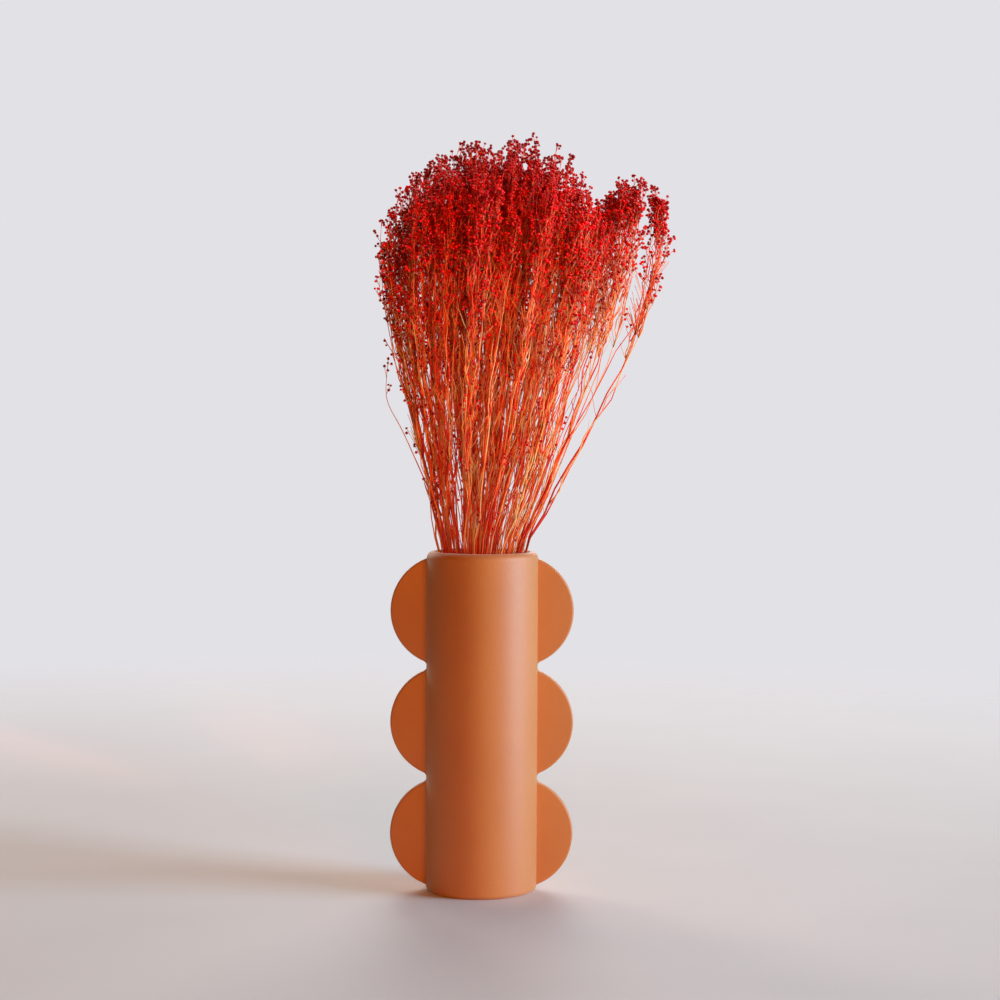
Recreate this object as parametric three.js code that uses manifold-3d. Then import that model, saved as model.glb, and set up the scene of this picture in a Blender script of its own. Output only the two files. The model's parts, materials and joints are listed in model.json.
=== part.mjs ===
import * as THREE from "three";
import { mergeVertices } from "three/addons/utils/BufferGeometryUtils.js";
import Module from "manifold-3d";

// A bunch of dyed, dried broom bloom standing in a terracotta vase with scalloped fins.
// Millimetres, +Z up. The origin is the middle of the vase's foot, on the surface that it stands on.
// +X runs along the fins, and -Y is the front.

// Driving dimensions of the vase
const VASE_HEIGHT = 244;
const BODY_RADIUS = 40;
const WALL = 6.7;
const RIM_OUTER_ROUND = 5;
const RIM_INNER_ROUND = WALL - RIM_OUTER_ROUND;
const RIM_CREST = BODY_RADIUS - RIM_OUTER_ROUND;
const BORE_CLEARANCE = 1;
const FLOOR_THICKNESS = 9;
const FOOT_ROUND = 3;
const BODY_SIDES = 48;

// Driving dimensions of the fins: three round lobes on each side, cut from one plate
const LOBES = 3;
const LOBE_RADIUS = 40;
const LOBE_OFFSET = 25.8;
const LOBE_PITCH = 80.4;
const LOWEST_LOBE = 40.5;
const NOTCH_RADIUS = 4;
const FIN_THICKNESS = 7;
const FIN_EDGE_ROUND = 1.5;
// An arc has one straight step for about every so many degrees, and the small roundings have few
const LOBE_STEP = 9;
const ROUND_STEP = 45;
// How far round, from straight out, the top and the bottom lobes go on inside the body
const INSIDE_BODY = 115;

// Driving dimensions of the bunch
const SPRAYS = 47;
const FOOT_GAP = 0.3;
const FOOT_SPREAD = 29;
const MOUTH_SPREAD = 31.2;
const SPIRAL = THREE.MathUtils.degToRad(125);
const FIRST_ANGLE = THREE.MathUtils.degToRad(140);
const FAN_HEIGHT = 240;
// Beyond this share of the way from the middle to the right, the fan is drawn out into a sparse wing
const WING_START = 0.72;
// Half-widths of the fan, as polynomials in the share of FAN_HEIGHT above the rim
const LEFT_EDGE = [MOUTH_SPREAD, 58, 22, -38];
const MAIN_EDGE = [MOUTH_SPREAD * WING_START, 96, -36];
const WING_EDGE = [MOUTH_SPREAD, 110, 65, -78];
const HALF_DEPTH = [MOUTH_SPREAD, 44, -14];
// The stems leave the mouth in three bundles, each drawn together sideways towards its anchor
const BUNDLES = [
  { upTo: -17.5, anchor: -31, keep: 0.85 },
  { upTo: 11.5, anchor: -3, keep: 0.85 },
  { upTo: Infinity, anchor: 31, keep: 0.85 },
];
const BUNDLED_UP_TO = 275;
const BUNDLES_END = 340;
// The crown is a dome, falling away to the left and right, with a lower wing on its right
const CROWN = { height: 540, x: 20, fallLeft: 7.1e-5, fallRight: 1.7e-4, fallDeep: 0.0085 };
const WING = { height: 512, x: 106, fall: 0.036 };

// Driving dimensions of a spray: a stem with forks, and branches that leave it there
const SIDES = 3;
const STEM_RADIUS = 1;
const TIP_RADIUS = 0.6;
const BRANCH_RADIUS = 0.42;
const FORKS = 4;
const FIRST_FORK = 280;
const FIRST_FORK_VARIES = 14;
const LAST_FORK_BELOW_TIP = 60;
const TIP_BELOW_CROWN = 12;
// A tip's height depends on where it stands, and that on its height, and a few rounds settle the two
const TIP_ROUNDS = 3;
// A branch leaves through one of the stem's three faces, and ends below the crown, within reach of the stem
const BRANCHES = [
  { fork: 0, face: 2, below: 100 },
  { fork: 2, face: 1, below: 76 },
  { fork: 2, face: 3, below: 56 },
  { fork: 3, face: 2, below: 36 },
  { fork: 3, face: 1, below: 20 },
];
const BELOW_VARIES = 8;
const REACH = 0.083;
const SHORTEST_REACH = 0.8;
// In the wing the disc is drawn out sideways, so less of it is reached, and the berries go less far down
const ACROSS_IN_WING = 0.55;
const DOWN_IN_WING = 0.6;
// One branch strays out of the bunch on its left, low down, through these places in x and z
const STRAY = { spray: 42, places: [[-59, 332], [-71, 352], [-69, 378]] };
const BERRIES = 3;
const BERRY_RADIUS = 2;
const BERRY_LENGTH = 3.6;
const BERRY_OFFSET = 1.1;
// What a number is drawn for, and the constants that mix the draw's keys
const DRAW = { turn: 1, height: 2, reach: 3 };
const MIX = { start: 2166136261, prime: 16777619, stir: 2246822519, span: 2 ** 32 };

const WELD_DISTANCE = 1e-4;
const GOLDEN_ANGLE = Math.PI * (3 - Math.sqrt(5));
const TERRACOTTA = new THREE.MeshStandardMaterial({ color: 0xb5622f, roughness: 0.85, metalness: 0 });
const DYED_BLOOM = new THREE.MeshStandardMaterial({ color: 0xb3241a, roughness: 0.6, metalness: 0 });

const wasm = await Module();
wasm.setup();

// A closed geometry as a solid, with the corners that its faces share welded.
function solidOf(geometry) {
  const bare = new THREE.BufferGeometry();
  bare.setAttribute("position", geometry.getAttribute("position"));
  bare.setIndex(geometry.getIndex());
  const merged = mergeVertices(bare, WELD_DISTANCE);
  const triVerts = new Uint32Array(merged.getIndex().array);
  const vertProperties = merged.getAttribute("position").array;
  return new wasm.Manifold(new wasm.Mesh({ numProp: 3, vertProperties, triVerts }));
}

function namedMesh(name, solid, material) {
  const { vertProperties, triVerts } = solid.getMesh();
  const geometry = new THREE.BufferGeometry();
  geometry.setAttribute("position", new THREE.BufferAttribute(vertProperties, 3));
  geometry.setIndex(new THREE.BufferAttribute(triVerts, 1));
  geometry.computeVertexNormals();
  const mesh = new THREE.Mesh(geometry, material);
  mesh.name = name;
  return mesh;
}

// Points along an arc from one angle to another, in degrees, with a straight step for each `step`.
function arc(x, z, radius, from, to, step) {
  const count = Math.max(1, Math.round(Math.abs(to - from) / step));
  const points = [];
  for (let i = 0; i <= count; i += 1) {
    const angle = THREE.MathUtils.degToRad(from + ((to - from) * i) / count);
    points.push(new THREE.Vector2(x + radius * Math.cos(angle), z + radius * Math.sin(angle)));
  }
  return points;
}

function turned(profile) {
  return solidOf(new THREE.LatheGeometry(profile, BODY_SIDES).rotateX(Math.PI / 2));
}

// The body's outside, filled, with a rounded foot and the outer half of the rounded rim.
function vaseOutside() {
  return turned([
    new THREE.Vector2(0, 0),
    ...arc(BODY_RADIUS - FOOT_ROUND, FOOT_ROUND, FOOT_ROUND, -90, 0, ROUND_STEP),
    ...arc(RIM_CREST, VASE_HEIGHT - RIM_OUTER_ROUND, RIM_OUTER_ROUND, 0, 90, ROUND_STEP),
    new THREE.Vector2(0, VASE_HEIGHT),
  ]);
}

// What is taken out of the body: the bore, with a rounded corner at its floor, and the rim's inner half.
function vaseInside() {
  const bore = BODY_RADIUS - WALL;
  const above = VASE_HEIGHT + BORE_CLEARANCE;
  return turned([
    new THREE.Vector2(0, FLOOR_THICKNESS),
    ...arc(bore - FOOT_ROUND, FLOOR_THICKNESS + FOOT_ROUND, FOOT_ROUND, -90, 0, ROUND_STEP),
    ...arc(RIM_CREST, VASE_HEIGHT - RIM_INNER_ROUND, RIM_INNER_ROUND, 180, 90, ROUND_STEP),
    new THREE.Vector2(RIM_CREST, above),
    new THREE.Vector2(0, above),
  ]);
}

// The plate of the fins, which runs through the body: round lobes joined by small round notches.
function finPlate() {
  const rise = LOBE_PITCH / 2;
  const reach = Math.sqrt((LOBE_RADIUS + NOTCH_RADIUS) ** 2 - rise ** 2);
  const tangent = THREE.MathUtils.radToDeg(Math.atan2(rise, reach));
  const right = [];
  for (let i = 0; i < LOBES; i += 1) {
    const z = LOWEST_LOBE + i * LOBE_PITCH;
    const from = i === 0 ? -INSIDE_BODY : -tangent;
    const to = i === LOBES - 1 ? INSIDE_BODY : tangent;
    right.push(...arc(LOBE_OFFSET, z, LOBE_RADIUS, from, to, LOBE_STEP));
    if (i < LOBES - 1) {
      const middle = LOBE_OFFSET + reach;
      const notch = arc(middle, z + rise, NOTCH_RADIUS, 180 + tangent, 180 - tangent, ROUND_STEP);
      right.push(...notch.slice(1, -1));
    }
  }
  const left = right.map((point) => new THREE.Vector2(-point.x, point.y)).reverse();
  const plate = new THREE.ExtrudeGeometry(new THREE.Shape([...right, ...left]), {
    depth: FIN_THICKNESS - 2 * FIN_EDGE_ROUND,
    bevelThickness: FIN_EDGE_ROUND,
    bevelSize: FIN_EDGE_ROUND,
    bevelOffset: -FIN_EDGE_ROUND,
    bevelSegments: 1,
  });
  plate.translate(0, 0, FIN_EDGE_ROUND - FIN_THICKNESS / 2);
  return solidOf(plate.rotateX(Math.PI / 2));
}

function vase() {
  const solid = vaseOutside().add(finPlate()).subtract(vaseInside());
  return namedMesh("vase", solid, TERRACOTTA);
}

// A number between low and high, drawn from whole-number keys, so that the same keys give the same number.
function draw(low, high, ...keys) {
  let state = MIX.start;
  for (const key of keys) {
    state = Math.imul(state ^ key, MIX.prime) >>> 0;
    state = Math.imul(state ^ (state >>> 15), MIX.stir) >>> 0;
    state = (state ^ (state >>> 13)) >>> 0;
  }
  return low + ((high - low) * state) / MIX.span;
}

function polynomial(coefficients, share) {
  return coefficients.reduceRight((sum, c) => sum * share + c, 0);
}

// The bunch's cross-section is a unit disc, and this carries its point (across, deep) to height z.
// In the vase the disc turns and widens so that each stem is straight, and above the rim it fans out.
// Two points of the disc never meet, so sprays that keep to their own patch of it stay apart.
function bunchPoint(across, deep, z) {
  const climb = (z - FLOOR_THICKNESS) / (VASE_HEIGHT - FLOOR_THICKNESS);
  const straight = (1 - climb) * FOOT_SPREAD * Math.cos(SPIRAL) + climb * MOUTH_SPREAD;
  const sideways = (climb - 1) * FOOT_SPREAD * Math.sin(SPIRAL);
  if (z <= VASE_HEIGHT) {
    return new THREE.Vector3(across * straight - deep * sideways, across * sideways + deep * straight, z);
  }
  const turn = Math.atan2(sideways, straight);
  const a = across * Math.cos(turn) - deep * Math.sin(turn);
  const b = across * Math.sin(turn) + deep * Math.cos(turn);
  const share = (z - VASE_HEIGHT) / FAN_HEIGHT;
  const left = -polynomial(LEFT_EDGE, share);
  const main = polynomial(MAIN_EDGE, share);
  const wing = polynomial(WING_EDGE, share);
  const inWing = Math.max(0, a - WING_START) / (1 - WING_START);
  const inMain = (Math.min(a, WING_START) + 1) / (1 + WING_START);
  const x = left + inMain * (main - left) + inWing * (wing - main);
  return new THREE.Vector3(x, b * polynomial(HALF_DEPTH, share), z);
}

// The crown's height over a point of the plan.
function crownHeight(x, y) {
  const fall = x < CROWN.x ? CROWN.fallLeft : CROWN.fallRight;
  const dome = CROWN.height - fall * Math.abs(x - CROWN.x) ** 3;
  const wing = WING.height - WING.fall * (x - WING.x) ** 2;
  return Math.max(dome, wing) - CROWN.fallDeep * y * y;
}

// A closed limb with few sides through its stations, which ends in a point.
function limb(stations) {
  const last = stations.length - 1;
  const positions = [];
  const faces = [];
  for (const [i, station] of stations.entries()) {
    const before = stations[Math.max(0, i - 1)].at;
    const after = stations[Math.min(last, i + 1)].at;
    const along = after.clone().sub(before).normalize();
    const out = new THREE.Vector3(1, 0, 0).addScaledVector(along, -along.x).normalize();
    const side = along.clone().cross(out);
    const corners = i === last ? 1 : SIDES;
    for (let k = 0; k < corners; k += 1) {
      const angle = station.turn + (k * 2 * Math.PI) / SIDES;
      const corner = station.at.clone();
      corner.addScaledVector(out, station.radius * Math.cos(angle));
      corner.addScaledVector(side, station.radius * Math.sin(angle));
      positions.push(corner.x, corner.y, corner.z);
    }
    for (let k = 0; k < SIDES && i > 0; k += 1) {
      const low = (i - 1) * SIDES + k;
      const lowNext = (i - 1) * SIDES + ((k + 1) % SIDES);
      const high = i === last ? i * SIDES : low + SIDES;
      faces.push(low, lowNext, high);
      if (i < last) {
        faces.push(lowNext, lowNext + SIDES, high);
      }
    }
  }
  for (let k = 2; k < SIDES; k += 1) {
    faces.push(0, k, k - 1);
  }
  const geometry = new THREE.BufferGeometry();
  geometry.setAttribute("position", new THREE.Float32BufferAttribute(positions, 3));
  geometry.setIndex(faces);
  return solidOf(geometry);
}

// A spray's stem stands at (across, deep) in the disc, and is drawn sideways into its bundle by `pull`.
function sprayAt(index) {
  const radius = Math.sqrt((index + 0.5) / SPRAYS);
  const angle = FIRST_ANGLE + index * GOLDEN_ANGLE;
  const across = radius * Math.cos(angle);
  const deep = radius * Math.sin(angle);
  const bundle = BUNDLES.find((b) => MOUTH_SPREAD * across < b.upTo);
  const pull = (bundle.anchor - MOUTH_SPREAD * across) * (1 - bundle.keep);
  return { index, across, deep, pull };
}

// A point of the spray at height z, off its middle by (across, deep) in disc units.
function sprayPoint(spray, z, across, deep) {
  const at = bunchPoint(spray.across + across, spray.deep + deep, z);
  const inVase = (z - FLOOR_THICKNESS) / (VASE_HEIGHT - FLOOR_THICKNESS);
  const above = 1 - THREE.MathUtils.smoothstep(z, BUNDLED_UP_TO, BUNDLES_END);
  at.x += spray.pull * Math.min(inVase, above);
  return at;
}

// The height at which that line of the spray comes `below` under the crown.
function topOf(spray, across, deep, below) {
  let z = CROWN.height - below;
  for (let i = 0; i < TIP_ROUNDS; i += 1) {
    const at = sprayPoint(spray, z, across, deep);
    z = crownHeight(at.x, at.y) - below;
  }
  return z;
}

// A cluster of berries that ends a limb: it widens and narrows like a string of beads, to and fro.
function cluster(from, to, turn) {
  const along = to.clone().sub(from).normalize();
  const aside = new THREE.Vector3(Math.cos(turn), Math.sin(turn), 0);
  const stations = [];
  for (let i = BERRIES; i > 0; i -= 1) {
    const neck = to.clone().addScaledVector(along, -BERRY_LENGTH * i);
    const middle = neck.clone().addScaledVector(along, BERRY_LENGTH / 2);
    middle.addScaledVector(aside, BERRY_OFFSET * (i % 2 === 0 ? 1 : -1));
    stations.push({ at: neck, radius: BRANCH_RADIUS, turn }, { at: middle, radius: BERRY_RADIUS, turn });
  }
  return [...stations, { at: to, radius: 0, turn }];
}

function strayBranch(root, turn) {
  const [rise, bend, tip] = STRAY.places.map(([x, z]) => new THREE.Vector3(x, root.y, z));
  const stations = [root, rise, bend].map((at) => ({ at, radius: BRANCH_RADIUS, turn }));
  return limb([...stations, ...cluster(bend, tip, turn)]);
}

// The stem's forks, evenly spaced from the first one to the last, with the stem thinner at each.
function stemForks(place, turn, top) {
  const first = FIRST_FORK + draw(-FIRST_FORK_VARIES, FIRST_FORK_VARIES, place.index, 0, DRAW.reach);
  const step = (top - LAST_FORK_BELOW_TIP - first) / (FORKS - 1);
  return Array.from({ length: FORKS }, (_, f) => ({
    at: sprayPoint(place, first + step * f, 0, 0),
    radius: THREE.MathUtils.lerp(STEM_RADIUS, TIP_RADIUS, f / (FORKS - 1)),
    turn,
  }));
}

// Branch number k of a spray, from its fork to its berries. The first ones are long, so they get a bend.
function branchLimb(place, k, turn, forks, inWing) {
  const { fork, face, below } = BRANCHES[k];
  const way = turn + ((face - 0.5) * 2 * Math.PI) / SIDES;
  const reach = REACH * draw(SHORTEST_REACH, 1, place.index, k + 1, DRAW.reach);
  const across = reach * Math.cos(way) * (inWing ? ACROSS_IN_WING : 1);
  const deep = reach * Math.sin(way);
  const down = below + draw(-BELOW_VARIES, BELOW_VARIES, place.index, k + 1, DRAW.height);
  const top = topOf(place, across, deep, down * (inWing ? DOWN_IN_WING : 1));
  const stations = [{ at: forks[fork].at, radius: BRANCH_RADIUS, turn }];
  if (fork === 0) {
    const bend = sprayPoint(place, (forks[0].at.z + top) / 2, across / 2, deep / 2);
    stations.push({ at: bend, radius: BRANCH_RADIUS, turn });
  }
  const from = stations[stations.length - 1].at;
  return limb([...stations, ...cluster(from, sprayPoint(place, top, across, deep), turn)]);
}

function spray(index) {
  const place = sprayAt(index);
  const turn = draw(0, 2 * Math.PI, index, 0, DRAW.turn);
  const top = topOf(place, 0, 0, draw(0, TIP_BELOW_CROWN, index, 0, DRAW.height));
  const forks = stemForks(place, turn, top);
  const foot = { at: sprayPoint(place, FLOOR_THICKNESS + FOOT_GAP, 0, 0), radius: STEM_RADIUS, turn };
  const mouth = { at: sprayPoint(place, VASE_HEIGHT, 0, 0), radius: STEM_RADIUS, turn };
  const tip = sprayPoint(place, top, 0, 0);
  const inWing = tip.x > polynomial(MAIN_EDGE, (top - VASE_HEIGHT) / FAN_HEIGHT);
  const limbs = [
    limb([foot, mouth, ...forks, ...cluster(forks[FORKS - 1].at, tip, turn)]),
    ...BRANCHES.map((_, k) => branchLimb(place, k, turn, forks, inWing)),
  ];
  if (index === STRAY.spray) {
    limbs.push(strayBranch(forks[0].at, turn));
  }
  return namedMesh(`spray_${String(index + 1).padStart(2, "0")}`, wasm.Manifold.union(limbs), DYED_BLOOM);
}

const object = new THREE.Group();
object.add(vase());
for (let i = 0; i < SPRAYS; i += 1) {
  object.add(spray(i));
}

export default object;
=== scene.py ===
import json
import math

import bmesh
import bpy
import numpy as np
from mathutils import Matrix, Vector

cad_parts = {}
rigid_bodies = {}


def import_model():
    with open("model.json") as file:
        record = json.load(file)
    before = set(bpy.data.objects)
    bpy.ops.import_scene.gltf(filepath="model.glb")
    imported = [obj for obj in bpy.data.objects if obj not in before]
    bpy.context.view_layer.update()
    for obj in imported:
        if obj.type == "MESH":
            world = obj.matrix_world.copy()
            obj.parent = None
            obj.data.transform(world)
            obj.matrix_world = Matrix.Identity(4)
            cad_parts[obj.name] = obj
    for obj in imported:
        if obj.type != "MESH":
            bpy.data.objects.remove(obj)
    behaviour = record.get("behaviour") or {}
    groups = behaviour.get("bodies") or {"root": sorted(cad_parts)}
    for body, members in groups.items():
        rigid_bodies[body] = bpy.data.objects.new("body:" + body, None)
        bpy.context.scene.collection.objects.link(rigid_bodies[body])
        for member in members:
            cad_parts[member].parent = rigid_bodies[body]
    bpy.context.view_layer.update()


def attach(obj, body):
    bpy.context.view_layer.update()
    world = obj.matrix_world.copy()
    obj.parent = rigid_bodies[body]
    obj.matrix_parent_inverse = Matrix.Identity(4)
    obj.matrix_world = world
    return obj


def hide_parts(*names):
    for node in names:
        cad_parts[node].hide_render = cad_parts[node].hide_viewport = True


# A bunch of dyed, dried broom bloom in a terracotta vase with scalloped fins. The frame is in metres.
# The object's sizes are in millimetres and -Y is its front. The lights and the floor are in metres.
MM = 0.001
SEED = 7

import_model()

# The camera, fitted to the photograph
CAMERA_PLACE = (12.4, -1557.5, 347.5)
CAMERA_DOWN = math.radians(2.454)
CAMERA_ROLL = math.radians(0.275)
CAMERA_LENS = 78.25

# The vase and its fins
VASE_HEIGHT = 244
BODY_RADIUS = 40
WALL = 6.7
RIM_OUTER_ROUND = 5
RIM_CREST = BODY_RADIUS - RIM_OUTER_ROUND
FLOOR_THICKNESS = 9
FOOT_ROUND = 3
BODY_SIDES = 160
LOBES = 3
LOBE_RADIUS = 40
LOBE_OFFSET = 25.8
LOBE_PITCH = 80.4
LOWEST_LOBE = 40.5
NOTCH_RADIUS = 4
FIN_THICKNESS = 7
FIN_EDGE_ROUND = 1.5
FIN_ROOT = BODY_RADIUS - WALL / 2
EDGE_STEPS = 4
LOBE_STEPS = 56
NOTCH_STEPS = 10
ROUND_STEPS = 8
SHARP_ANGLE = math.radians(35)

# The bunch: where its sprays stand and how the fan opens. An edge is a polynomial in the height above
# the rim, as a share of FAN_HEIGHT. A bundle takes the stems up to its first place across the mouth and
# gathers them at its second.
SPRAYS = 47
FOOT_GAP = 0.3
FOOT_SPREAD = 29
MOUTH_SPREAD = 31.2
SPIRAL = math.radians(125)
FIRST_ANGLE = math.radians(140)
FAN_HEIGHT = 240
WING_START = 0.72
LEFT_EDGE = (MOUTH_SPREAD, 58, 22, -38)
MAIN_EDGE = (MOUTH_SPREAD * WING_START, 96, -36)
WING_EDGE = (MOUTH_SPREAD, 110, 65, -78)
HALF_DEPTH = (MOUTH_SPREAD, 44, -14)
BUNDLES = ((-17.5, -31), (11.5, -3), (math.inf, 31))
BUNDLE_KEEP = 0.85
BUNDLED_UP_TO = 275
BUNDLES_END = 340
CROWN_HEIGHT, CROWN_X, CROWN_FALL_DEEP = 540, 20, 0.0085
CROWN_FALL_LEFT, CROWN_FALL_RIGHT = 7.1e-5, 1.7e-4
WING_HEIGHT, WING_X, WING_FALL = 512, 106, 0.036

# A spray's stem and branches, as in the frame's solids. A branch has its fork on the stem, the side that
# it grows from and how far its tip is below the crown.
FORKS = 4
FIRST_FORK = 280
FIRST_FORK_VARIES = 14
LAST_FORK_BELOW_TIP = 60
TIP_BELOW_CROWN = 12
TIP_ROUNDS = 3
BRANCHES = ((0, 2, 100), (2, 1, 76), (2, 3, 56), (3, 2, 36), (3, 1, 20))
SOLID_SIDES = 3
BELOW_VARIES = 8
REACH = 0.083
SHORTEST_REACH = 0.8
ACROSS_IN_WING = 0.55
DOWN_IN_WING = 0.6
STRAY_SPRAY = 42
STRAY_PLACES = ((-59, 332), (-71, 352), (-69, 378))
STRAY_ROUNDS = 2
DRAW_TURN, DRAW_HEIGHT, DRAW_REACH = 1, 2, 3
MIX_START, MIX_PRIME, MIX_STIR, MIX_SPAN = 2166136261, 16777619, 2246822519, 2**32
MIX_FIRST_SHIFT, MIX_LAST_SHIFT = 15, 13
GOLDEN_ANGLE = math.pi * (3 - math.sqrt(5))
OUTWARD_CURVE = 0.8

# More lines in each spray, which are only here. Low lines fork inside the vase, and fine ones above it.
# The fine lines gather in clumps near the crown.
LOW_LINES = 3
LOW_LINES_IN_WING = 1
LOW_FORKS = (60, 200)
LOW_REACH = 0.42
LOW_REACH_SHARES = (0.1, 1)
LOW_TURNS = (-0.5, 0.5)
FINE_LINES = 12
FINE_FORK = 285
FINE_FORK_IN_WING = 390
FINE_FORK_BELOW_TOP = 70
CLUMPS = 3
CLUMP_REACH = (0.03, 0.12)
CLUMP_SPREAD = 0.018
CLUMP_BELOW_TIP = (-5, 18)
FINE_BELOW_CLUMP = (0, 36)
FINE_DOWN_IN_WING = 0.4
CROWDING = 1.5
FORK_ABOVE_ROOT = 8
FORK_BELOW_TOP = 40
SWAYS = (0.006, 0.02)
LOW_SWAYS = (0.03, 0.07)
WAVES = (4, 9)
DISC_LIMIT = 1
LINE_STATIONS = 18
STATIONS_IN_VASE = 0.14
KINKS = 1.1
STEM_RADIUS = 0.7
FIRST_FORK_RADIUS = 0.6
THINNER_FROM = 330
LINE_RADIUS = 0.5
LINE_THICKNESSES = (0.7, 1.3)
TIP_RADIUS = 0.18

# Twigs on those lines, and seed heads at the twigs' tips and on stalks along them. A seed head's profile
# is in its own radii: how far along its stalk's way, and how wide.
TWIG_STATIONS = 3
TWIG_RADIUS = 0.24
TWIG_LEANS = (0.3, 0.75)
TWIG_TURNS = (-0.4, 0.4)
TWIG_LIFT = 0.18
TWIG_CROWDING = 1.25
TOP_TWIGS = {"count": 6, "zone": (4, 52), "lengths": (3, 6), "longer_below": 5}
WING_TWIGS = {"count": 6, "zone": (3, 30), "lengths": (3, 6), "longer_below": 3}
MIDDLE_TWIGS = {"count": 3, "zone": (50, 260), "lengths": (7, 19), "longer_below": 4}
MIDDLE_TWIGS_WITH_BERRIES = 18
MIDDLE_TWIGS_WITH_BERRIES_IN_WING = 3
STRAY_TWIGS = {"count": 3, "zone": (2, 28), "lengths": (3, 6.5), "longer_below": 3}
STALK_PLACES = (0.8, 0.45)
STALK_LENGTHS = (1, 2.2)
STALK_RADIUS = 0.14
STALK_TURN = 2.4
STALK_LEANS = (0.5, 1.2)
BERRY_RADIUS = 1.16
BERRY_SIZES = (0.74, 1.1)
BERRY_PROFILE = ((0, 0), (0.46, 0.94), (1.38, 0.94), (1.88, 0))
BERRY_SEAT = 0.12

# The shapes' sides, and each kind's box and columns of cells in a spray's bake map
LINE_SIDES, TWIG_SIDES, STALK_SIDES, BERRY_SIDES = 4, 3, 3, 6
LINE_BOX, TWIG_BOX = (0, 0, 1, 0.25), (0, 0.25, 1, 0.45)
STALK_BOX, BERRY_BOX = (0, 0.45, 1, 0.6), (0, 0.6, 1, 1)
TWIG_COLUMNS, STALK_COLUMNS, BERRY_COLUMNS = 50, 100, 27
CELL_MARGIN = 0.12
STEM_KIND, BERRY_KIND = 0, 1
FAR_FROM_AXIS = 0.8
SMALLEST_LENGTH = 1e-12

# Colours as a display shows them, from 0 to 255, with their places on a ramp where they have one
CLAY = ((0.3, (194, 112, 46)), (0.7, (202, 120, 52)))
CLAY_GRAIN = (184, 99, 38)
STEMS = ((0, (176, 32, 12)), (0.22, (236, 60, 24)), (0.52, (255, 116, 52)), (1, (255, 184, 122)))
STEMS_IN_CROWN = (234, 8, 5)
BERRIES = ((0, (126, 0, 5)), (0.35, (172, 0, 6)), (0.7, (204, 2, 8)), (1, (240, 8, 12)))
BERRIES_IN_CROWN = (116, 2, 12)
# Dark streaks over the bloom: partly the dye's own unevenness, partly painted shade for the shade among the
# stems
PAINTED_SHADE_STREAKS = (150, 8, 6)
FLOOR = ((0.3, (226, 211, 203)), (0.7, (230, 215, 207)))
BACKDROP = (226, 225, 230)
LIGHT_ALL_ROUND = (255, 214, 190)
LIGHT_ALL_ROUND_STRENGTH = 0.025

# The floor, and the point that the lights are turned to
FLOOR_RADIUS = 1.5
FLOOR_FADES_FROM = 0.45
FLOOR_SIDES = 96
LIT_POINT = (0, 0, 0.3)


def polynomial(coefficients, share):
    return sum(c * share**i for i, c in enumerate(coefficients))


def draw(low, high, *keys):
    """A number between low and high from whole-number keys, drawn as the frame's solids draw it."""
    state = MIX_START
    for key in keys:
        state = ((state ^ key) * MIX_PRIME) % MIX_SPAN
        state = ((state ^ (state >> MIX_FIRST_SHIFT)) * MIX_STIR) % MIX_SPAN
        state ^= state >> MIX_LAST_SHIFT
    return low + (high - low) * state / MIX_SPAN


def smoothstep(x, low, high):
    share = np.clip((x - low) / (high - low), 0, 1)
    return share * share * (3 - 2 * share)


def bunch_points(across, deep, z):
    """Places of points of the bunch's unit disc at heights z: turned in the vase, fanned out above it."""
    climb = (z - FLOOR_THICKNESS) / (VASE_HEIGHT - FLOOR_THICKNESS)
    straight = (1 - climb) * FOOT_SPREAD * math.cos(SPIRAL) + climb * MOUTH_SPREAD
    sideways = (climb - 1) * FOOT_SPREAD * math.sin(SPIRAL)
    inside = np.stack([across * straight - deep * sideways, across * sideways + deep * straight, z], -1)
    turn = np.arctan2(sideways, straight)
    right = across * np.cos(turn) - deep * np.sin(turn)
    back = across * np.sin(turn) + deep * np.cos(turn)
    share = (z - VASE_HEIGHT) / FAN_HEIGHT
    left = -polynomial(LEFT_EDGE, share)
    main = polynomial(MAIN_EDGE, share)
    wing = polynomial(WING_EDGE, share)
    in_wing = np.maximum(0, right - WING_START) / (1 - WING_START)
    in_main = (np.minimum(right, WING_START) + 1) / (1 + WING_START)
    x = left + in_main * (main - left) + in_wing * (wing - main)
    above = np.stack([x, back * polynomial(HALF_DEPTH, share), z], -1)
    return np.where((z > VASE_HEIGHT)[..., None], above, inside)


def crown_height(x, y):
    """The height of the crown over a place: its dome, or its wing where that is higher."""
    fall = np.where(x < CROWN_X, CROWN_FALL_LEFT, CROWN_FALL_RIGHT)
    dome = CROWN_HEIGHT - fall * np.abs(x - CROWN_X) ** 3
    wing = WING_HEIGHT - WING_FALL * (x - WING_X) ** 2
    return np.maximum(dome, wing) - CROWN_FALL_DEEP * y * y


class Place:
    """Where a spray stands in the disc, and the points of its lines."""

    def __init__(self, index):
        radius = math.sqrt((index + 0.5) / SPRAYS)
        angle = FIRST_ANGLE + index * GOLDEN_ANGLE
        self.index = index
        self.across = radius * math.cos(angle)
        self.deep = radius * math.sin(angle)
        at_mouth = MOUTH_SPREAD * self.across
        anchor = next(anchor for up_to, anchor in BUNDLES if at_mouth < up_to)
        self.pull = (anchor - at_mouth) * (1 - BUNDLE_KEEP)

    def points(self, z, across, deep):
        z = np.asarray(z, float)
        at = bunch_points(self.across + across, self.deep + deep, z)
        in_vase = (z - FLOOR_THICKNESS) / (VASE_HEIGHT - FLOOR_THICKNESS)
        at[..., 0] += self.pull * np.minimum(in_vase, 1 - smoothstep(z, BUNDLED_UP_TO, BUNDLES_END))
        return at

    def top(self, across, deep, below):
        """The height at which that line of the spray comes `below` under the crown."""
        z = CROWN_HEIGHT - below
        for _ in range(TIP_ROUNDS):
            at = self.points(z, across, deep)
            z = crown_height(at[..., 0], at[..., 1]) - below
        return z


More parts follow.
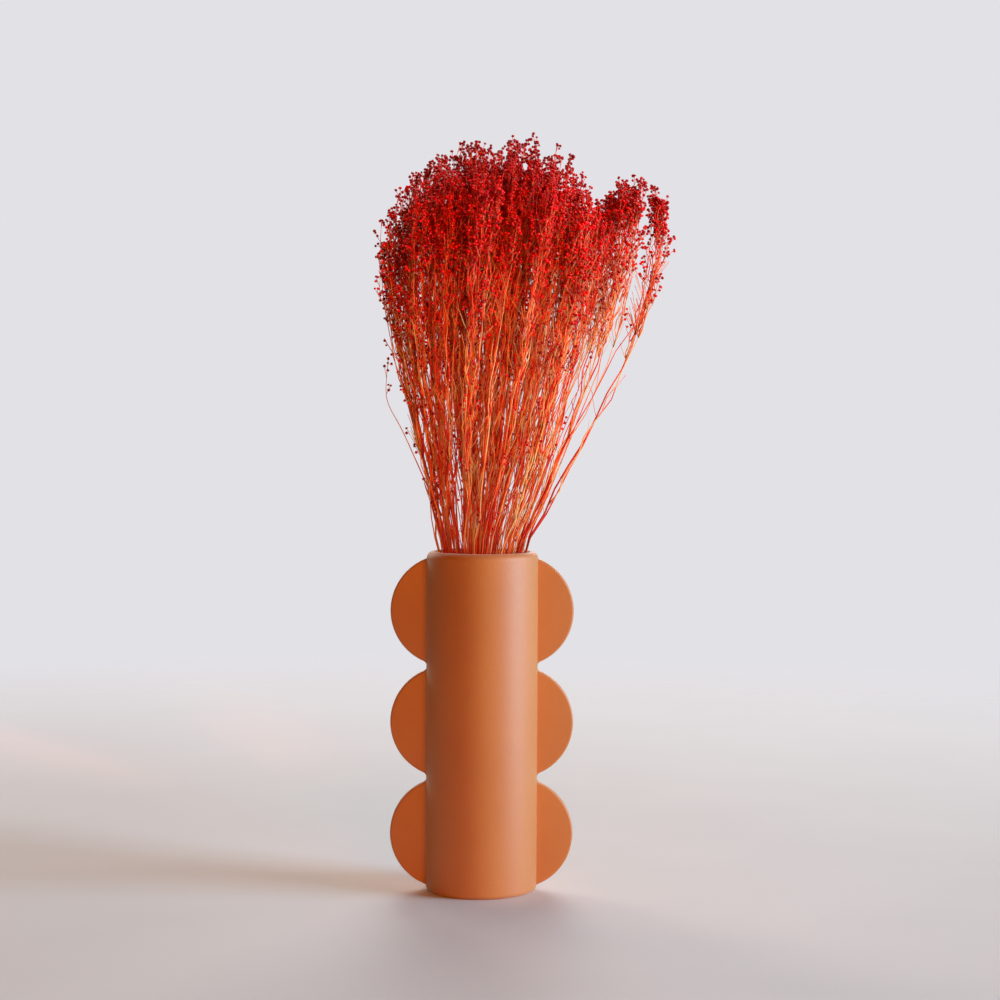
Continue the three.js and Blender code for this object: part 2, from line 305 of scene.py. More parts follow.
def kept_lines(place):
    """The stem and branches that the spray's solid has: root height, top height, end offset and parent."""
    turn = draw(0, 2 * math.pi, place.index, 0, DRAW_TURN)
    top = place.top(0, 0, draw(0, TIP_BELOW_CROWN, place.index, 0, DRAW_HEIGHT))
    tip = place.points(top, 0, 0)
    in_wing = tip[0] > polynomial(MAIN_EDGE, (top - VASE_HEIGHT) / FAN_HEIGHT)
    first = FIRST_FORK + draw(-FIRST_FORK_VARIES, FIRST_FORK_VARIES, place.index, 0, DRAW_REACH)
    step = (top - LAST_FORK_BELOW_TIP - first) / (FORKS - 1)
    lines = [{"root": FLOOR_THICKNESS + FOOT_GAP, "top": top, "end": np.zeros(2), "parent": None}]
    for k, (fork, face, below) in enumerate(BRANCHES, start=1):
        way = turn + (face - 0.5) * 2 * math.pi / SOLID_SIDES
        reach = REACH * draw(SHORTEST_REACH, 1, place.index, k, DRAW_REACH)
        across = reach * math.cos(way) * (ACROSS_IN_WING if in_wing else 1)
        deep = reach * math.sin(way)
        down = below + draw(-BELOW_VARIES, BELOW_VARIES, place.index, k, DRAW_HEIGHT)
        end = place.top(across, deep, down * (DOWN_IN_WING if in_wing else 1))
        root = first + step * fork
        lines.append({"root": root, "top": end, "end": np.array([across, deep]), "parent": 0})
    return lines, in_wing


def offsets(lines, index, z):
    """A line's offset from the middle of its spray, in disc units, at heights z."""
    line = lines[index]
    share = np.clip((z - line["root"]) / (line["top"] - line["root"]), 0, 1)[..., None]
    start = np.zeros(2)
    if line["parent"] is not None:
        start = offsets(lines, line["parent"], np.array(line["root"]))
    sway = line["sway"] * np.sin(share * line["waves"] + line["phase"]) * share
    return start + (line["end"] - start) * share**OUTWARD_CURVE + sway


def add_sway(line, sways, rng):
    way = rng.uniform(0, 2 * math.pi)
    line["sway"] = rng.uniform(*sways) * np.array([math.cos(way), math.sin(way)])
    line["waves"] = rng.uniform(*WAVES)
    line["phase"] = rng.uniform(0, 2 * math.pi)


def crowded(limits, rng, count=None):
    """Draws between two limits that come more often near the first one."""
    return np.interp(rng.uniform(0, 1, count) ** CROWDING, (0, 1), limits)


def nearest_line(lines, root, end):
    """The line that is nearest to that offset at a fork's height, of those that are there."""
    there = []
    for index, line in enumerate(lines):
        if line["root"] < root - FORK_ABOVE_ROOT and line["top"] > root + FORK_BELOW_TOP:
            there.append(index)
    gaps = [np.linalg.norm(offsets(lines, index, np.array(root)) - end) for index in there]
    return there[int(np.argmin(gaps))]


def add_fine_lines(place, lines, in_wing, rng):
    """More lines in the spray, each leaving the nearest line that is there at its fork."""
    for line in lines:
        add_sway(line, SWAYS, rng)
    low_lines = LOW_LINES_IN_WING if in_wing else LOW_LINES
    fine_fork = FINE_FORK_IN_WING if in_wing else FINE_FORK
    squeeze = np.array([ACROSS_IN_WING if in_wing else 1, 1])
    middle = np.array([place.across, place.deep])
    clump_ways = 2 * math.pi * np.arange(CLUMPS) / CLUMPS + rng.uniform(0, 2 * math.pi)
    clump_reaches = rng.uniform(*CLUMP_REACH, CLUMPS)
    clump_below = crowded(CLUMP_BELOW_TIP, rng, CLUMPS)
    for k in range(low_lines + FINE_LINES):
        low = k < low_lines
        clump = k % CLUMPS
        if low:
            way = GOLDEN_ANGLE * k + rng.uniform(*LOW_TURNS)
            reach = LOW_REACH * math.sqrt(rng.uniform(*LOW_REACH_SHARES))
            end = reach * np.array([math.cos(way), math.sin(way)])
        else:
            way = clump_ways[clump]
            end = clump_reaches[clump] * np.array([math.cos(way), math.sin(way)])
            end = end + rng.normal(0, CLUMP_SPREAD, 2)
        end = end * squeeze
        out = np.linalg.norm(middle + end)
        if out > DISC_LIMIT:
            end = (middle + end) * DISC_LIMIT / out - middle
        below = draw(0, TIP_BELOW_CROWN, place.index, 0, DRAW_HEIGHT)
        below += clump_below[clump] + crowded(FINE_BELOW_CLUMP, rng)
        top = float(place.top(end[0], end[1], below * (FINE_DOWN_IN_WING if in_wing else 1)))
        highest_fork = max(fine_fork, top - FINE_FORK_BELOW_TOP)
        root = rng.uniform(*(LOW_FORKS if low else (fine_fork, highest_fork)))
        parent = nearest_line(lines, root, end)
        lines.append({"root": root, "top": top, "end": end, "parent": parent})
        add_sway(lines[-1], LOW_SWAYS if low else SWAYS, rng)


def unit(vectors):
    return vectors / np.maximum(np.linalg.norm(vectors, axis=-1, keepdims=True), SMALLEST_LENGTH)


def square_to(ways, chord):
    """Unit vectors square to the ways, on the side of x, or of y where the chord runs along x."""
    aside = np.where(np.abs(chord[..., :1]) < FAR_FROM_AXIS, [1.0, 0, 0], [0, 1.0, 0])
    return unit(aside - (aside * ways).sum(-1, keepdims=True) * ways)


def around(ways, angles):
    """Unit vectors square to the given ways, at these angles round them."""
    out = square_to(ways, ways)
    side = np.cross(ways, out)
    return out * np.cos(angles)[..., None] + side * np.sin(angles)[..., None]


class Shapes:
    """Closed round shapes along paths, all with as many stations and sides. The end stations are poles."""

    def __init__(self, paths, radii, sides, kind, shades, box, columns):
        count, stations = radii.shape
        ways = unit(np.gradient(paths, axis=1))
        out = square_to(ways, unit(paths[:, -1] - paths[:, 0])[:, None])
        side = np.cross(ways, out)
        angles = np.arange(sides) * 2 * math.pi / sides
        ring = out[:, :, None] * np.cos(angles)[:, None] + side[:, :, None] * np.sin(angles)[:, None]
        rings = paths[:, 1:-1, None] + ring[:, 1:-1] * radii[:, 1:-1, None, None]
        rings = rings.reshape(count, -1, 3)
        self.vertices = np.concatenate([paths[:, :1], rings, paths[:, -1:]], 1)
        self.count = count
        self.kind = kind
        self.shades = shades
        self.quads, self.triangles, self.quad_uv, self.triangle_uv = self.faces(stations, sides)
        self.place_cells(box, columns)

    @staticmethod
    def faces(stations, sides):
        k = np.arange(sides)
        following = (k + 1) % sides
        last = 1 + (stations - 3) * sides
        end = 1 + (stations - 2) * sides
        first_fan = np.stack([0 * k, 1 + following, 1 + k], 1)
        last_fan = np.stack([0 * k + end, last + k, last + following], 1)
        fan_u = np.stack([k + 0.5, k + 1.0, k + 0.0], 1) / sides
        fan_v = np.array([0.0, 1.0, 1.0]) / (stations - 1) * np.ones((sides, 1))
        first_uv = np.stack([fan_u, fan_v], -1)
        last_uv = np.stack([fan_u[:, [0, 2, 1]], 1 - fan_v], -1)
        quads, quad_uv = [], []
        for i in range(stations - 3):
            low, high = 1 + i * sides, 1 + (i + 1) * sides
            quads.append(np.stack([low + k, low + following, high + following, high + k], 1))
            u = np.stack([k, k + 1, k + 1, k], 1) / sides
            v = np.array([i + 1, i + 1, i + 2, i + 2]) / (stations - 1) * np.ones((sides, 1))
            quad_uv.append(np.stack([u, v], -1))
        quads, quad_uv = np.concatenate(quads), np.concatenate(quad_uv)
        return quads, np.concatenate([first_fan, last_fan]), quad_uv, np.concatenate([first_uv, last_uv])

    def place_cells(self, box, columns):
        """Each shape's own cell of the bake map, inside that box of it."""
        u0, v0, u1, v1 = box
        rows = math.ceil(self.count / columns)
        cell = np.array([(u1 - u0) / columns, (v1 - v0) / rows])
        index = np.arange(self.count)
        corner = np.stack([index % columns, index // columns], 1) * cell + [u0, v0]
        self.corner = corner + CELL_MARGIN * cell
        self.cell = cell * (1 - 2 * CELL_MARGIN)

    def map_places(self, uv):
        return (self.corner[:, None, None] + uv[None] * self.cell).reshape(-1, 2)


def mesh_of(name, groups):
    """One mesh from several groups of shapes, with its bake map and the numbers its material reads."""
    vertices, corners, sizes, places, numbers = [], [], [], [], []
    first = 0
    for group in groups:
        each = group.vertices.shape[1]
        starts = first + each * np.arange(group.count)[:, None, None]
        for faces, uv in ((group.quads, group.quad_uv), (group.triangles, group.triangle_uv)):
            corners.append((starts + faces[None]).ravel())
            sizes.append(np.full(group.count * len(faces), faces.shape[1]))
            places.append(group.map_places(uv))
        vertices.append(group.vertices.reshape(-1, 3))
        height = (vertices[-1][:, 2] - VASE_HEIGHT) / (CROWN_HEIGHT - VASE_HEIGHT)
        kinds = np.full(len(height), group.kind)
        shades = np.repeat(group.shades, each)
        numbers.append(np.stack([kinds, shades, np.clip(height, 0, 1), np.ones(len(height))], 1))
        first += each * group.count
    corners, sizes = np.concatenate(corners), np.concatenate(sizes)
    mesh = bpy.data.meshes.new(name)
    mesh.vertices.add(first)
    mesh.vertices.foreach_set("co", (np.concatenate(vertices) * MM).ravel())
    mesh.loops.add(len(corners))
    mesh.loops.foreach_set("vertex_index", corners)
    mesh.polygons.add(len(sizes))
    mesh.polygons.foreach_set("loop_start", np.concatenate([[0], np.cumsum(sizes)[:-1]]))
    mesh.update(calc_edges=True)
    mesh.uv_layers.new(name="OFBake").data.foreach_set("uv", np.concatenate(places).ravel())
    layer = mesh.color_attributes.new("bloom", "FLOAT_COLOR", "POINT")
    layer.data.foreach_set("color", np.concatenate(numbers).ravel())
    mesh.polygons.foreach_set("use_smooth", np.ones(len(sizes), bool))
    return mesh


def tubes(paths, radii, **values):
    """Shapes with flat ends: the end stations are doubled, and the outer ones are poles."""
    paths = np.concatenate([paths[:, :1], paths, paths[:, -1:]], 1)
    return Shapes(paths, np.pad(radii, ((0, 0), (1, 1))), kind=STEM_KIND, **values)


def line_paths(place, lines, rng):
    """The points and radii along each line, with small kinks between its fixed ends."""
    paths, radii = [], []
    thickness = rng.uniform(*LINE_THICKNESSES, len(lines))
    for index, line in enumerate(lines):
        rise = np.linspace(0, 1, LINE_STATIONS)
        if line["root"] < VASE_HEIGHT:
            heights = (line["root"], VASE_HEIGHT, line["top"])
            z = np.interp(rise, (0, STATIONS_IN_VASE, 1), heights)
        else:
            z = line["root"] + (line["top"] - line["root"]) * rise
        off = offsets(lines, index, z)
        paths.append(place.points(z, off[:, 0], off[:, 1]))
        tapers_at = (VASE_HEIGHT, THINNER_FROM, line["top"])
        stem = np.interp(z, tapers_at, (STEM_RADIUS, FIRST_FORK_RADIUS, TIP_RADIUS))
        root_radius = LINE_RADIUS * thickness[index]
        branch = root_radius + (TIP_RADIUS - root_radius) * rise
        radii.append(stem if index == 0 else np.minimum(stem, branch))
    paths = np.array(paths)
    kinks = rng.normal(0, KINKS, (len(paths), LINE_STATIONS, 2))
    stations = np.arange(LINE_STATIONS)
    kinks *= np.minimum(1, stations * stations[::-1] / LINE_STATIONS)[:, None]
    above = paths[..., 2:] > VASE_HEIGHT
    paths[..., :2] += np.where(above, kinks, 0)
    return paths, np.array(radii)


def along_paths(paths, below):
    """The points and ways of lines at distances below their tops, which are short beside the lines."""
    ways = unit(paths[:, -1] - paths[:, -3])
    lengths = np.linalg.norm(np.diff(paths[:, ::-1], axis=1), axis=2)
    far = np.concatenate([np.zeros((len(paths), 1)), np.cumsum(lengths, 1)], 1)
    at = np.empty((*below.shape, 3))
    for i, path in enumerate(paths[:, ::-1]):
        for axis in range(3):
            at[i, :, axis] = np.interp(below[i], far[i], path[:, axis])
    return at, np.broadcast_to(ways[:, None], at.shape)


def stray_path(place, lines):
    """The branch that strays out of the bunch on its left, with its bends rounded."""
    root_height = np.array(lines[1]["root"])
    root = place.points(root_height, *offsets(lines, 0, root_height))
    corners = np.array([root, *((x, root[1], z) for x, z in STRAY_PLACES)])
    far = np.concatenate([[0], np.cumsum(np.linalg.norm(np.diff(corners, axis=0), axis=1))])
    stations = np.linspace(0, far[-1], LINE_STATIONS)
    path = np.stack([np.interp(stations, far, corners[:, axis]) for axis in range(3)], 1)
    for _ in range(STRAY_ROUNDS):
        path[1:-1] = (path[:-2] + 2 * path[1:-1] + path[2:]) / 4
    return path


def twigs_on(paths, growth, rng):
    """Side twigs on lines, in a zone below their tops: short at the top of it and longer below."""
    shape = (len(paths), growth["count"])
    order = (np.arange(shape[1]) + rng.uniform(0, 1, shape)) / shape[1]
    nearest, farthest = growth["zone"]
    below = nearest + (farthest - nearest) * order**TWIG_CROWDING
    roots, ways = along_paths(paths, below)
    angles = GOLDEN_ANGLE * np.arange(shape[1]) + rng.uniform(0, 2 * math.pi, (shape[0], 1))
    out = around(ways, angles + rng.uniform(*TWIG_TURNS, shape))
    lean = rng.uniform(*TWIG_LEANS, (*shape, 1))
    aim = unit(ways + out * lean)
    length = (rng.uniform(*growth["lengths"], shape) + growth["longer_below"] * order)[..., None]
    share = np.linspace(0, 1, TWIG_STATIONS)[:, None]
    lift = TWIG_LIFT * share**2
    twigs = roots[:, :, None] + length[..., None, :] * (aim[:, :, None] * share + ways[:, :, None] * lift)
    return twigs.reshape(-1, TWIG_STATIONS, 3)


def berries_on(twigs, rng):
    """Seed heads on each twig: one at its tip, and others on stalks along it."""
    stalks = []
    heads = [(twigs[:, -1], unit(twigs[:, -1] - twigs[:, -2]))]
    for k, share in enumerate(STALK_PLACES):
        step = share * (TWIG_STATIONS - 1)
        low = int(step)
        root = twigs[:, low] + (twigs[:, low + 1] - twigs[:, low]) * (step - low)
        way = unit(twigs[:, low + 1] - twigs[:, low])
        out = around(way, rng.uniform(0, 2 * math.pi, len(twigs)) + k * STALK_TURN)
        aim = unit(out + way * rng.uniform(*STALK_LEANS, (len(twigs), 1)))
        end = root + aim * rng.uniform(*STALK_LENGTHS, (len(twigs), 1))
        stalks.append(np.stack([root, end], 1))
        heads.append((end, aim))
    places, aims = (np.concatenate(parts) for parts in zip(*heads))
    return np.concatenate(stalks), places, aims


def berry_paths(places, aims, rng):
    """The points and radii of seed heads that sit on those places, each a little over its stalk's end."""
    size = BERRY_RADIUS * rng.uniform(*BERRY_SIZES, (len(places), 1))
    profile = np.array(BERRY_PROFILE)
    rises = profile[:, 0] - BERRY_SEAT
    paths = places[:, None] + aims[:, None] * rises[None, :, None] * size[..., None]
    return paths, size * profile[:, 1]


def grown_spray(index):
    """The shapes of one spray: its lines, twigs, stalks and seed heads."""
    rng = np.random.default_rng([SEED, index])
    place = Place(index)
    lines, in_wing = kept_lines(place)
    add_fine_lines(place, lines, in_wing, rng)
    paths, radii = line_paths(place, lines, rng)
    twigs = twigs_on(paths, WING_TWIGS if in_wing else TOP_TWIGS, rng)
    middle_twigs = twigs_on(paths, MIDDLE_TWIGS, rng)
    if index == STRAY_SPRAY:
        stray = stray_path(place, lines)[None]
        paths = np.concatenate([paths, stray])
        radii = np.concatenate([radii, np.linspace(LINE_RADIUS, TIP_RADIUS, LINE_STATIONS)[None]])
        twigs = np.concatenate([twigs, twigs_on(stray, STRAY_TWIGS, rng)])
    twigs = np.concatenate([twigs, rng.permutation(middle_twigs)])
    with_berries = len(twigs) - len(middle_twigs)
    with_berries += MIDDLE_TWIGS_WITH_BERRIES_IN_WING if in_wing else MIDDLE_TWIGS_WITH_BERRIES
    stalks, places, aims = berries_on(twigs[:with_berries], rng)
    places = np.concatenate([places, paths[:, -1]])
    aims = np.concatenate([aims, unit(paths[:, -1] - paths[:, -2])])
    shades, twig_shades, stalk_shades = (rng.uniform(0, 1, len(each)) for each in (paths, twigs, stalks))
    heads, head_radii = berry_paths(places, aims, rng)
    head_shades = rng.uniform(0, 1, len(heads))
    twig_radii = np.full(twigs.shape[:2], TWIG_RADIUS)
    stalk_radii = np.full(stalks.shape[:2], STALK_RADIUS)
    berry = {"sides": BERRY_SIDES, "kind": BERRY_KIND, "box": BERRY_BOX, "columns": BERRY_COLUMNS}
    line = {"sides": LINE_SIDES, "box": LINE_BOX, "columns": len(paths)}
    twig = {"sides": TWIG_SIDES, "box": TWIG_BOX, "columns": TWIG_COLUMNS}
    stalk = {"sides": STALK_SIDES, "box": STALK_BOX, "columns": STALK_COLUMNS}
    return [
        tubes(paths, radii, shades=shades, **line),
        tubes(twigs, twig_radii, shades=twig_shades, **twig),
        tubes(stalks, stalk_radii, shades=stalk_shades, **stalk),
        Shapes(heads, head_radii, shades=head_shades, **berry),
    ]


def spray(index, material):
    """One spray as a piece that stands for its solid in the frame."""
    name = f"spray_{index + 1:02d}"
    piece = bpy.data.objects.new(f"bloom_{name}", mesh_of(name, grown_spray(index)))
    bpy.context.scene.collection.objects.link(piece)
    piece.data.materials.append(material)
    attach(piece, "root")
    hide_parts(name)


def arc(x, z, radius, start, end, steps):
    """Points of an arc in the plane of x and z, from one angle to another in radians."""
    angles = np.linspace(start, end, steps + 1)
    return np.stack([x + radius * np.cos(angles), z + radius * np.sin(angles)], 1)


def body_profile():
    """Half of the body's section, from the axis under the foot, over the rim, to the axis on its floor."""
    quarter = math.pi / 2
    bore = BODY_RADIUS - WALL
    inner_round = WALL - RIM_OUTER_ROUND
    foot = arc(BODY_RADIUS - FOOT_ROUND, FOOT_ROUND, FOOT_ROUND, -quarter, 0, ROUND_STEPS)
    rim_out = arc(RIM_CREST, VASE_HEIGHT - RIM_OUTER_ROUND, RIM_OUTER_ROUND, 0, quarter, ROUND_STEPS)
    rim_in = arc(RIM_CREST, VASE_HEIGHT - inner_round, inner_round, quarter, 2 * quarter, ROUND_STEPS)
    corner = arc(bore - FOOT_ROUND, FLOOR_THICKNESS + FOOT_ROUND, FOOT_ROUND, 0, -quarter, ROUND_STEPS)
    return np.concatenate([[(0, 0)], foot, rim_out, rim_in[1:], corner, [(0, FLOOR_THICKNESS)]])


def revolved_body():
    """The section turned about the vase's axis, as one closed mesh."""
    profile = body_profile()
    mesh = bmesh.new()
    bottom = mesh.verts.new((0, 0, profile[0][1] * MM))
    top = mesh.verts.new((0, 0, profile[-1][1] * MM))
    rings = []
    turns = [2 * math.pi * k / BODY_SIDES for k in range(BODY_SIDES)]
    for radius, z in profile[1:-1] * MM:
        rings.append([mesh.verts.new((radius * math.cos(t), radius * math.sin(t), z)) for t in turns])
    for k in range(BODY_SIDES):
        following = (k + 1) % BODY_SIDES
        mesh.faces.new((bottom, rings[0][following], rings[0][k]))
        mesh.faces.new((top, rings[-1][k], rings[-1][following]))
        for low, high in zip(rings, rings[1:]):
            mesh.faces.new((low[k], low[following], high[following], high[k]))
    return mesh


def fin_outline(inset):
    """The right fin's edge from bottom to top. The inset makes its lobes smaller and its notches larger."""
    rise = LOBE_PITCH / 2
    reach = math.sqrt((LOBE_RADIUS + NOTCH_RADIUS) ** 2 - rise**2)
    tangent = math.atan2(rise, reach)
    radius = LOBE_RADIUS - inset
    hidden = math.acos((FIN_ROOT - LOBE_OFFSET) / radius)
    points = []
    for i in range(LOBES):
        z = LOWEST_LOBE + i * LOBE_PITCH
        start = -hidden if i == 0 else -tangent
        end = hidden if i == LOBES - 1 else tangent
        points.append(arc(LOBE_OFFSET, z, radius, start, end, LOBE_STEPS))
        if i < LOBES - 1:
            notch = (LOBE_OFFSET + reach, z + rise, NOTCH_RADIUS + inset)
            points.append(arc(*notch, math.pi + tangent, math.pi - tangent, NOTCH_STEPS)[1:-1])
    return np.concatenate(points)


def fin(side):
    """One fin, as a stack of outlines through its thickness, with rounded edges."""
    angles = np.linspace(0, math.pi / 2, EDGE_STEPS + 1)
    depths = FIN_THICKNESS / 2 - FIN_EDGE_ROUND + FIN_EDGE_ROUND * np.sin(angles)
    insets = FIN_EDGE_ROUND * (1 - np.cos(angles))
    mesh = bmesh.new()
    rings = []
    for y, inset in zip([*-depths[::-1], *depths], [*insets[::-1], *insets]):
        rings.append([mesh.verts.new((side * x * MM, y * MM, z * MM)) for x, z in fin_outline(inset)])
    mesh.faces.new(rings[0])
    mesh.faces.new(rings[-1][::-1])
    count = len(rings[0])
    for low, high in zip(rings, rings[1:]):
        for k in range(count):
            following = (k + 1) % count
            mesh.faces.new((low[following], low[k], high[k], high[following]))
    bmesh.ops.recalc_face_normals(mesh, faces=mesh.faces)
    return mesh


def object_of(name, mesh):
    """A new object in the scene, with its mesh made from that bmesh."""
    data = bpy.data.meshes.new(name)
    mesh.to_mesh(data)
    mesh.free()
    made = bpy.data.objects.new(name, data)
    bpy.context.scene.collection.objects.link(made)
    return made


def vase(material):
    """The body and both fins as one piece, as the clay is cast."""
    body = object_of("terracotta_vase", revolved_body())
    fins = [object_of(f"fin_{name}", fin(side)) for name, side in (("left", -1), ("right", 1))]
    for each in fins:
        join = body.modifiers.new("join", "BOOLEAN")
        join.operation = "UNION"
        join.solver = "EXACT"
        join.object = each
    depsgraph = bpy.context.evaluated_depsgraph_get()
    joined = bpy.data.meshes.new_from_object(body.evaluated_get(depsgraph))
    body.modifiers.clear()
    body.data = joined
    for each in fins:
        bpy.data.objects.remove(each)
    joined.polygons.foreach_set("use_smooth", np.ones(len(joined.polygons), bool))
    joined.set_sharp_from_angle(angle=SHARP_ANGLE)
    joined.materials.clear()
    joined.materials.append(material)
    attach(body, "root")
    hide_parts("vase")


def shown(red, green, blue):
    """A colour as a display shows it, from 0 to 255, made linear by the display's curve for shaders."""
    shares = np.array([red, green, blue]) / 255
    linear = np.where(shares > 0.04045, ((shares + 0.055) / 1.055) ** 2.4, shares / 12.92)
    return (*linear.tolist(), 1)


class Nodes:
    """Short ways to add and join a material's nodes."""

    def __init__(self, name):
        self.material = bpy.data.materials.new(name)
        self.material.use_nodes = True
        self.tree = self.material.node_tree
        self.shader = self.tree.nodes["Principled BSDF"]

    def add(self, kind, inputs=None, **values):
        node = self.tree.nodes.new(kind)
        for key, value in values.items():
            setattr(node, key, value)
        for key, value in (inputs or {}).items():
            self.feed(node.inputs[key], value)
        return node

    def feed(self, socket, value):
        if isinstance(value, bpy.types.NodeSocket):
            self.tree.links.new(value, socket)
        else:
            socket.default_value = value

    def ramp(self, factor, stops):
        node = self.add("ShaderNodeValToRGB", {"Fac": factor})
        elements = node.color_ramp.elements
        while len(elements) < len(stops):
            elements.new(1)
        for element, (position, tint) in zip(elements, stops):
            element.position = position
            element.color = shown(*tint)
        return node.outputs["Color"]

    def mix(self, factor, first, second):
        inputs = {0: factor, 6: first, 7: second}
        return self.add("ShaderNodeMix", inputs, data_type="RGBA").outputs[2]

    def total(self, first, second):
        return self.add("ShaderNodeMath", {0: first, 1: second}, operation="ADD").outputs[0]

    def between(self, values, factor, over=(0, 1)):
        """A number that goes from the first value to the second while the factor goes over a range."""
        inputs = {0: factor, 1: over[0], 2: over[1], 3: values[0], 4: values[1]}
        return self.add("ShaderNodeMapRange", inputs).outputs[0]

    def noise(self, points, scale, detail):
        inputs = {"Vector": points, "Scale": scale, "Detail": detail}
        return self.add("ShaderNodeTexNoise", inputs).outputs["Fac"]

    def points(self):
        return self.add("ShaderNodeTexCoord").outputs["Object"]

    def bump(self, grain, strength, distance):
        inputs = {"Strength": strength, "Distance": distance, "Height": grain}
        return self.add("ShaderNodeBump", inputs).outputs["Normal"]

    def shade(self, inputs):
        """Sets the shader's own inputs, or links them where they are given as a node's output."""
        for key, value in inputs.items():
            self.feed(self.shader.inputs[key], value)


def terracotta():
    """Matt clay: slightly clouded, with a darker grain and a soft sheen."""
    nodes = Nodes("terracotta")
    points = nodes.points()
    clouds = nodes.noise(points, scale=14, detail=4)
    grain = nodes.noise(points, scale=900, detail=2)
    worn = nodes.noise(points, scale=220, detail=3)
    speckles = nodes.between((0, 0.3), grain, over=(0.35, 0.8))
    nodes.shade({
        "Base Color": nodes.mix(speckles, nodes.ramp(clouds, CLAY), shown(*CLAY_GRAIN)),
        "Roughness": nodes.between((0.5, 0.6), worn),
        "Specular IOR Level": 0.75,
        "Sheen Weight": 0.35,
        "Sheen Roughness": 0.4,
        "Normal": nodes.bump(grain, strength=0.25, distance=0.0003),
    })
    return nodes.material


def dyed_bloom():
    """Dyed stems that redden towards the crown, and crimson seed heads, each with a shade of its own."""
    nodes = Nodes("dyed_bloom")
    numbers = nodes.add("ShaderNodeAttribute", attribute_name="bloom").outputs["Color"]
    parts = nodes.add("ShaderNodeSeparateColor", {"Color": numbers}).outputs
    is_berry, shade, height = parts[0], parts[1], parts[2]
    points = nodes.points()
    patches = nodes.noise(points, scale=60, detail=2)
    streaks = nodes.noise(points, scale=700, detail=2)
    tone = nodes.total(shade, nodes.between((-0.3, 0.3), patches, over=(0.3, 0.7)))
    reddening = nodes.between((0, 0.95), height, over=(0.47, 0.84))
    deepening = nodes.between((0, 0.8), height, over=(0.77, 0.96))
    # Painted shade, in part: random dark streaks mixed into the colour of stems and seed heads
    painted_shade = nodes.between((0, 0.4), streaks, over=(0.45, 0.85))
    stem = nodes.mix(reddening, nodes.ramp(tone, STEMS), shown(*STEMS_IN_CROWN))
    berry = nodes.mix(deepening, nodes.ramp(shade, BERRIES), shown(*BERRIES_IN_CROWN))
    nodes.shade({
        "Base Color": nodes.mix(painted_shade, nodes.mix(is_berry, stem, berry), shown(*PAINTED_SHADE_STREAKS)),
        "Roughness": nodes.between((0.44, 0.28), is_berry),
        "Specular IOR Level": 0.3,
        "Subsurface Weight": 0.8,
        "Subsurface Radius": (1, 0.3, 0.12),
        "Subsurface Scale": 0.003,
        "Normal": nodes.bump(streaks, strength=0.3, distance=0.0001),
    })
    return nodes.material


def pale_floor():
    """A plain pale floor that fades away at its edge."""
    nodes = Nodes("pale_floor")
    points = nodes.points()
    distance = nodes.add("ShaderNodeVectorMath", {0: points}, operation="LENGTH").outputs["Value"]
    nodes.shade({
        "Base Color": nodes.ramp(nodes.noise(points, scale=6, detail=2), FLOOR),
        "Roughness": 0.6,
        "Alpha": nodes.between((1, 0), distance, over=(FLOOR_FADES_FROM, FLOOR_RADIUS)),
    })
    mesh = bmesh.new()
    bmesh.ops.create_circle(mesh, cap_ends=True, segments=FLOOR_SIDES, radius=FLOOR_RADIUS)
    floor = object_of("floor", mesh)
    floor.data.materials.append(nodes.material)


def set_camera():
    """The camera that was fitted to the photograph."""
    data = bpy.data.cameras.new("camera")
    data.lens = CAMERA_LENS
    camera = bpy.data.objects.new("camera", data)
    bpy.context.scene.collection.objects.link(camera)
    tilt = Matrix.Rotation(math.pi / 2 - CAMERA_DOWN, 4, "X") @ Matrix.Rotation(CAMERA_ROLL, 4, "Z")
    camera.matrix_world = Matrix.Translation(Vector(CAMERA_PLACE) * MM) @ tilt
    bpy.context.scene.camera = camera


def add_light(name, kind, place, target, power, tint):
    """A light that is turned to a point."""
    data = bpy.data.lights.new(name, kind)
    data.energy = power
    data.color = tint
    light = bpy.data.objects.new(name, data)
    bpy.context.scene.collection.objects.link(light)
    light.location = place
    light.rotation_euler = (Vector(target) - Vector(place)).to_track_quat("-Z", "Y").to_euler()
    return data


def area_light(name, place, size, power, tint):
    data = add_light(name, "AREA", place, LIT_POINT, power, tint)
    data.shape = "RECTANGLE"
    data.size, data.size_y = size


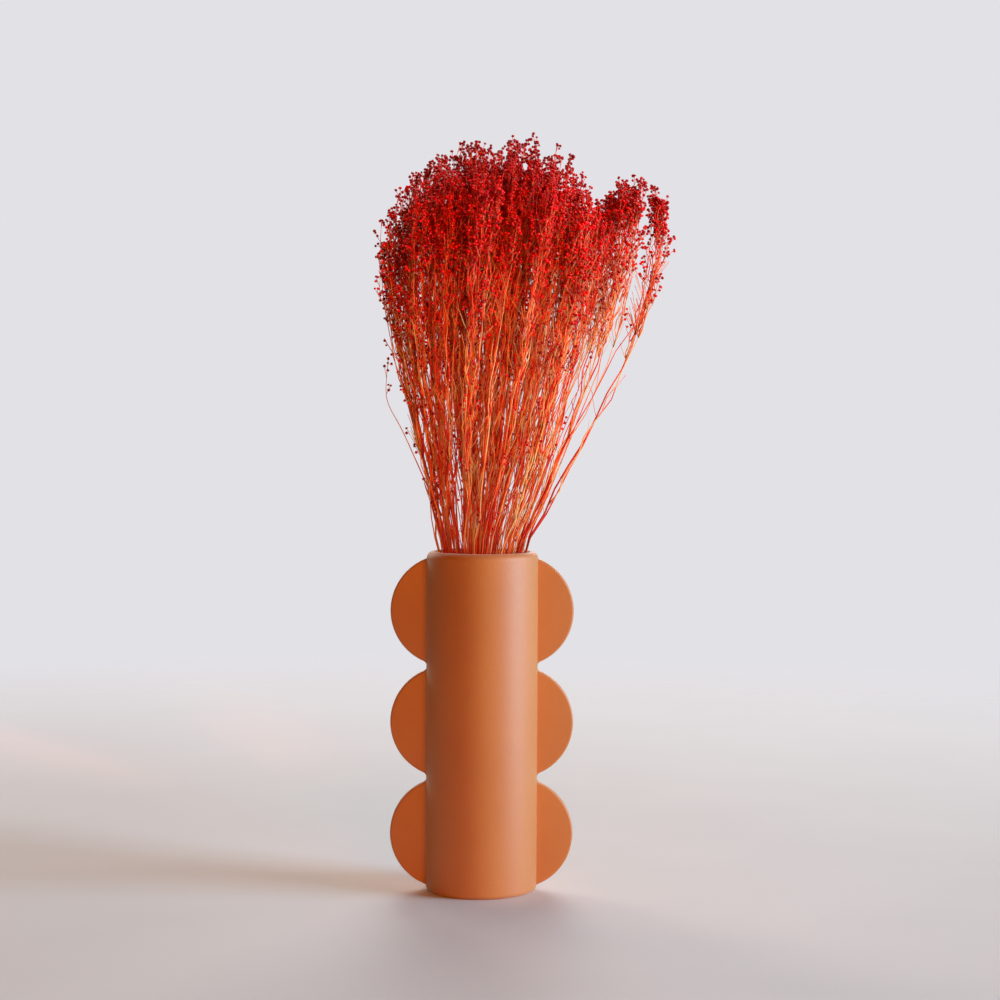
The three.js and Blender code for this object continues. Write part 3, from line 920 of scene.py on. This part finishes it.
def set_world():
    """A pale backdrop for the camera, and a dimmer light from all round for the rest."""
    world = bpy.data.worlds.new("world")
    bpy.context.scene.world = world
    world.use_nodes = True
    tree = world.node_tree
    seen = tree.nodes.new("ShaderNodeBackground")
    seen.inputs["Color"].default_value = shown(*BACKDROP)
    lit = tree.nodes.new("ShaderNodeBackground")
    lit.inputs["Color"].default_value = shown(*LIGHT_ALL_ROUND)
    lit.inputs["Strength"].default_value = LIGHT_ALL_ROUND_STRENGTH
    path = tree.nodes.new("ShaderNodeLightPath")
    mix = tree.nodes.new("ShaderNodeMixShader")
    tree.links.new(path.outputs["Is Camera Ray"], mix.inputs[0])
    tree.links.new(lit.outputs[0], mix.inputs[1])
    tree.links.new(seen.outputs[0], mix.inputs[2])
    tree.links.new(mix.outputs[0], tree.nodes["World Output"].inputs["Surface"])


def bunch_light():
    """A narrow warm light on the bunch alone, for the glow that light has inside dyed stems."""
    place, target = (0.8, -1.5, 1.1), (0.01, 0, 0.44)
    data = add_light("bunch_light", "SPOT", place, target, power=146, tint=(1, 0.3, 0.16))
    data.spot_size = math.radians(12)
    data.spot_blend = 1
    data.shadow_soft_size = 0.04


def set_lights():
    """A cool key light from the right, a warm fill from the front, and dimmer lights from behind."""
    area_light("key", place=(5.03, -1.25, 1.4), size=(2.6, 4.2), power=408, tint=(0.56, 0.96, 1.3))
    area_light("fill", place=(0.95, -4.2, 1.1), size=(2.6, 2.2), power=104, tint=(1, 0.37, 0.04))
    area_light("edge", place=(2.4, 1, 0.9), size=(1.6, 2), power=12, tint=(0.75, 0.9, 1))
    area_light("left_back", place=(-2.1, 3, 1.5), size=(1.4, 2), power=45, tint=(1, 0.86, 0.74))
    area_light("behind", place=(0.3, 3, 1.6), size=(2.4, 2), power=50, tint=(1, 0.97, 0.95))
    bunch_light()


bpy.context.scene.view_settings.view_transform = "Standard"
set_camera()
set_world()
set_lights()
pale_floor()
vase(terracotta())
bloom = dyed_bloom()
for spray_index in range(SPRAYS):
    spray(spray_index, bloom)
